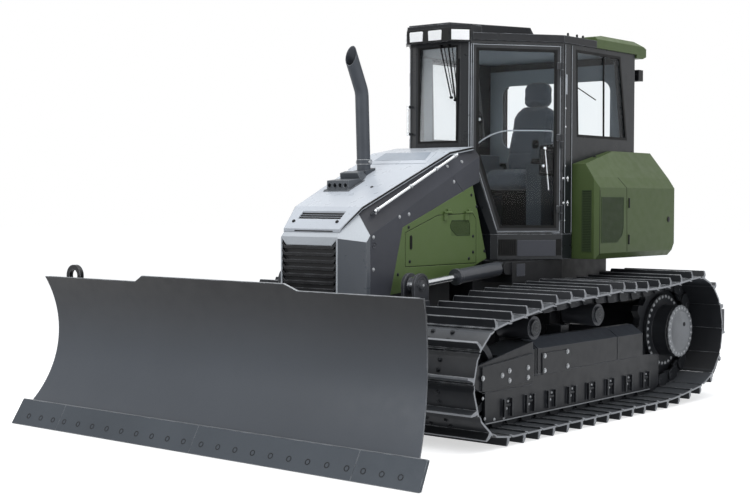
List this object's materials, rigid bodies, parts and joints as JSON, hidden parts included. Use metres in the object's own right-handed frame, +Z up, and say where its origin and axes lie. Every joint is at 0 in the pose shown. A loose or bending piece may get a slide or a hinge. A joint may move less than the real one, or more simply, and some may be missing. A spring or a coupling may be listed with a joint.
{
  "type": "crawler bulldozer",
  "caption": "Crawler bulldozer with wide tracks, a six-way blade on a C-shaped push frame, a glazed cab with opening doors and a three-shank ripper behind.",
  "frame": {"origin": "on the ground under the middle of the machine's length and width", "axes": "+X forward to the blade, +Y to the driver's left, +Z up"},
  "size_m": [5.805, 3.805, 3.046],
  "materials": {
    "green_paint": "satin",
    "silver_paint": "satin",
    "dark_paint": "satin",
    "cab_paint": "satin",
    "frame_paint": "matte, worn",
    "blade_paint": "worn",
    "edge_steel": "worn",
    "track_iron": "matte with bright worn edges",
    "chrome_rod": "polished",
    "glass": "clear, faintly tinted",
    "seat_cloth": "matte",
    "console_plastic": "matte",
    "grille_black": "matte",
    "lamp_white": "glossy",
    "pipe_steel": "satin",
    "engine_iron": "matte"
  },
  "bodies": {
    "tractor": {"side_panels": "green_paint", "rear_boxes": "green_paint", "rear_tank": "green_paint", "rear_roof_cover": "green_paint", "hood_top": "silver_paint", "hood_nose": "silver_paint", "hood_sides": "dark_paint", "main_frame": "dark_paint", "cab_base": "dark_paint", "air_inlet": "dark_paint", "rear_lamps": "dark_paint", "cab_frame": "cab_paint", "cab_roof": "cab_paint", "track_frames": "frame_paint", "final_drives": "frame_paint", "ripper_bracket": "frame_paint", "left_track": "track_iron", "right_track": "track_iron", "sprockets": "track_iron", "idlers": "track_iron", "track_rollers": "track_iron", "carrier_rollers": "track_iron", "handrails": "chrome_rod", "windshield": "glass", "cab_windows": "glass", "seat": "seat_cloth", "consoles": "console_plastic", "grille": "grille_black", "work_lamps": "lamp_white", "exhaust": "pipe_steel", "engine_block": "engine_iron"},
    "push_frame": {"push_frame": "frame_paint"},
    "blade_swivel": {"blade_swivel": "frame_paint"},
    "blade": {"blade": "blade_paint", "cutting_edges": "edge_steel"},
    "lift_barrels": {"lift_barrels": "frame_paint"},
    "lift_rods": {"lift_rods": "chrome_rod"},
    "left_angle_barrel": {"left_angle_barrel": "frame_paint"},
    "left_angle_rod": {"left_angle_rod": "chrome_rod"},
    "right_angle_barrel": {"right_angle_barrel": "frame_paint"},
    "right_angle_rod": {"right_angle_rod": "chrome_rod"},
    "tilt_barrel": {"tilt_barrel": "frame_paint"},
    "tilt_rod": {"tilt_rod": "chrome_rod"},
    "left_cab_door": {"left_cab_door": "cab_paint", "left_door_glass": "glass"},
    "right_cab_door": {"right_cab_door": "cab_paint", "right_door_glass": "glass"},
    "left_engine_door": {"left_engine_door": "green_paint"},
    "right_engine_door": {"right_engine_door": "green_paint"},
    "ripper_arms": {"ripper_arms": "frame_paint"},
    "ripper_links": {"ripper_links": "frame_paint"},
    "ripper_beam": {"ripper_beam": "frame_paint"},
    "ripper_barrels": {"ripper_barrels": "frame_paint"},
    "ripper_rods": {"ripper_rods": "chrome_rod"}
  },
  "joints": [
    {"name": "lift", "type": "hinge", "parent": "tractor", "child": "push_frame", "pos_m": [-0.4025, 0, 0.48], "axis": [0, -1, 0], "range_deg": [-9, 16.5]},
    {"name": "angle", "type": "hinge", "parent": "push_frame", "child": "blade_swivel", "pos_m": [2.0475, 0, 0.47], "axis": [0, 0, 1], "range_deg": [-25, 25]},
    {"name": "tilt", "type": "hinge", "parent": "blade_swivel", "child": "blade", "pos_m": [2.3695, 0, 0.47], "axis": [1, 0, 0], "range_deg": [-6, 6]},
    {"name": "lift_barrel_pivot", "type": "hinge", "parent": "tractor", "child": "lift_barrels", "pos_m": [0.1825, 0, 1.136], "axis": [0, -1, 0], "range_deg": [-16, 28]},
    {"name": "lift_stroke", "type": "slide", "parent": "lift_barrels", "child": "lift_rods", "axis": [0.9972, 0, -0.0754], "range_m": [-0.18, 0.12]},
    {"name": "left_angle_pivot", "type": "hinge", "parent": "push_frame", "child": "left_angle_barrel", "pos_m": [1.0475, 0.512, 0.645], "axis": [0, 0, 1], "range_deg": [-5, 5]},
    {"name": "left_angle_stroke", "type": "slide", "parent": "left_angle_barrel", "child": "left_angle_rod", "axis": [0.9971, 0.0763, 0], "range_m": [-0.26, 0.26]},
    {"name": "right_angle_pivot", "type": "hinge", "parent": "push_frame", "child": "right_angle_barrel", "pos_m": [1.0475, -0.512, 0.645], "axis": [0, 0, 1], "range_deg": [-5, 5]},
    {"name": "right_angle_stroke", "type": "slide", "parent": "right_angle_barrel", "child": "right_angle_rod", "axis": [0.9971, -0.0763, 0], "range_m": [-0.26, 0.26]},
    {"name": "tilt_barrel_pivot", "type": "hinge", "parent": "blade_swivel", "child": "tilt_barrel", "pos_m": [2.3555, 0.42, 0.86], "axis": [1, 0, 0], "range_deg": [-4, 4]},
    {"name": "tilt_stroke", "type": "slide", "parent": "tilt_barrel", "child": "tilt_rod", "axis": [0, -1, 0], "range_m": [-0.05, 0.05]},
    {"name": "left_cab_door_hinge", "type": "hinge", "parent": "tractor", "child": "left_cab_door", "pos_m": [-0.4257, 0.7635, 2.1], "axis": [0, 0, 1], "range_deg": [0, 110]},
    {"name": "right_cab_door_hinge", "type": "hinge", "parent": "tractor", "child": "right_cab_door", "pos_m": [-0.4257, -0.7635, 2.1], "axis": [0, 0, -1], "range_deg": [0, 110]},
    {"name": "left_engine_door_hinge", "type": "hinge", "parent": "tractor", "child": "left_engine_door", "pos_m": [0.6855, 0.424, 1.566], "axis": [1, 0, 0], "range_deg": [0, 130]},
    {"name": "right_engine_door_hinge", "type": "hinge", "parent": "tractor", "child": "right_engine_door", "pos_m": [0.6855, -0.424, 1.566], "axis": [-1, 0, 0], "range_deg": [0, 130]},
    {"name": "ripper_lift", "type": "hinge", "parent": "tractor", "child": "ripper_arms", "pos_m": [-1.9525, 0, 0.48], "axis": [0, 1, 0], "range_deg": [-25, 32]},
    {"name": "ripper_beam_pivot", "type": "hinge", "parent": "ripper_arms", "child": "ripper_beam", "pos_m": [-2.6325, 0, 0.48], "axis": [0, 1, 0], "range_deg": [-33, 26]},
    {"name": "ripper_link_pivot", "type": "hinge", "parent": "tractor", "child": "ripper_links", "pos_m": [-1.9525, 0, 0.81], "axis": [0, 1, 0], "range_deg": [-26, 33]},
    {"name": "ripper_barrel_pivot", "type": "hinge", "parent": "tractor", "child": "ripper_barrels", "pos_m": [-1.9225, 0, 0.96], "axis": [0, 1, 0], "range_deg": [-21, 27]},
    {"name": "ripper_stroke", "type": "slide", "parent": "ripper_barrels", "child": "ripper_rods", "axis": [-0.8517, 0, -0.5241], "range_m": [-0.21, 0.16]}
  ],
  "couplings": [
    {"joint": "lift_barrel_pivot", "follows": "lift", "ratio": 1.56},
    {"joint": "lift_stroke", "follows": "lift", "m_per_rad": -0.61},
    {"joint": "left_angle_pivot", "follows": "angle", "ratio": 0.15},
    {"joint": "left_angle_stroke", "follows": "angle", "m_per_rad": -0.5755},
    {"joint": "right_angle_pivot", "follows": "angle", "ratio": 0.15},
    {"joint": "right_angle_stroke", "follows": "angle", "m_per_rad": 0.5755},
    {"joint": "tilt_barrel_pivot", "follows": "tilt", "ratio": 0.5},
    {"joint": "tilt_stroke", "follows": "tilt", "m_per_rad": 0.39},
    {"joint": "ripper_beam_pivot", "follows": "ripper_lift", "ratio": -1},
    {"joint": "ripper_link_pivot", "follows": "ripper_lift", "ratio": 1},
    {"joint": "ripper_barrel_pivot", "follows": "ripper_lift", "ratio": 0.8},
    {"joint": "ripper_stroke", "follows": "ripper_lift", "m_per_rad": -0.36}
  ]
}
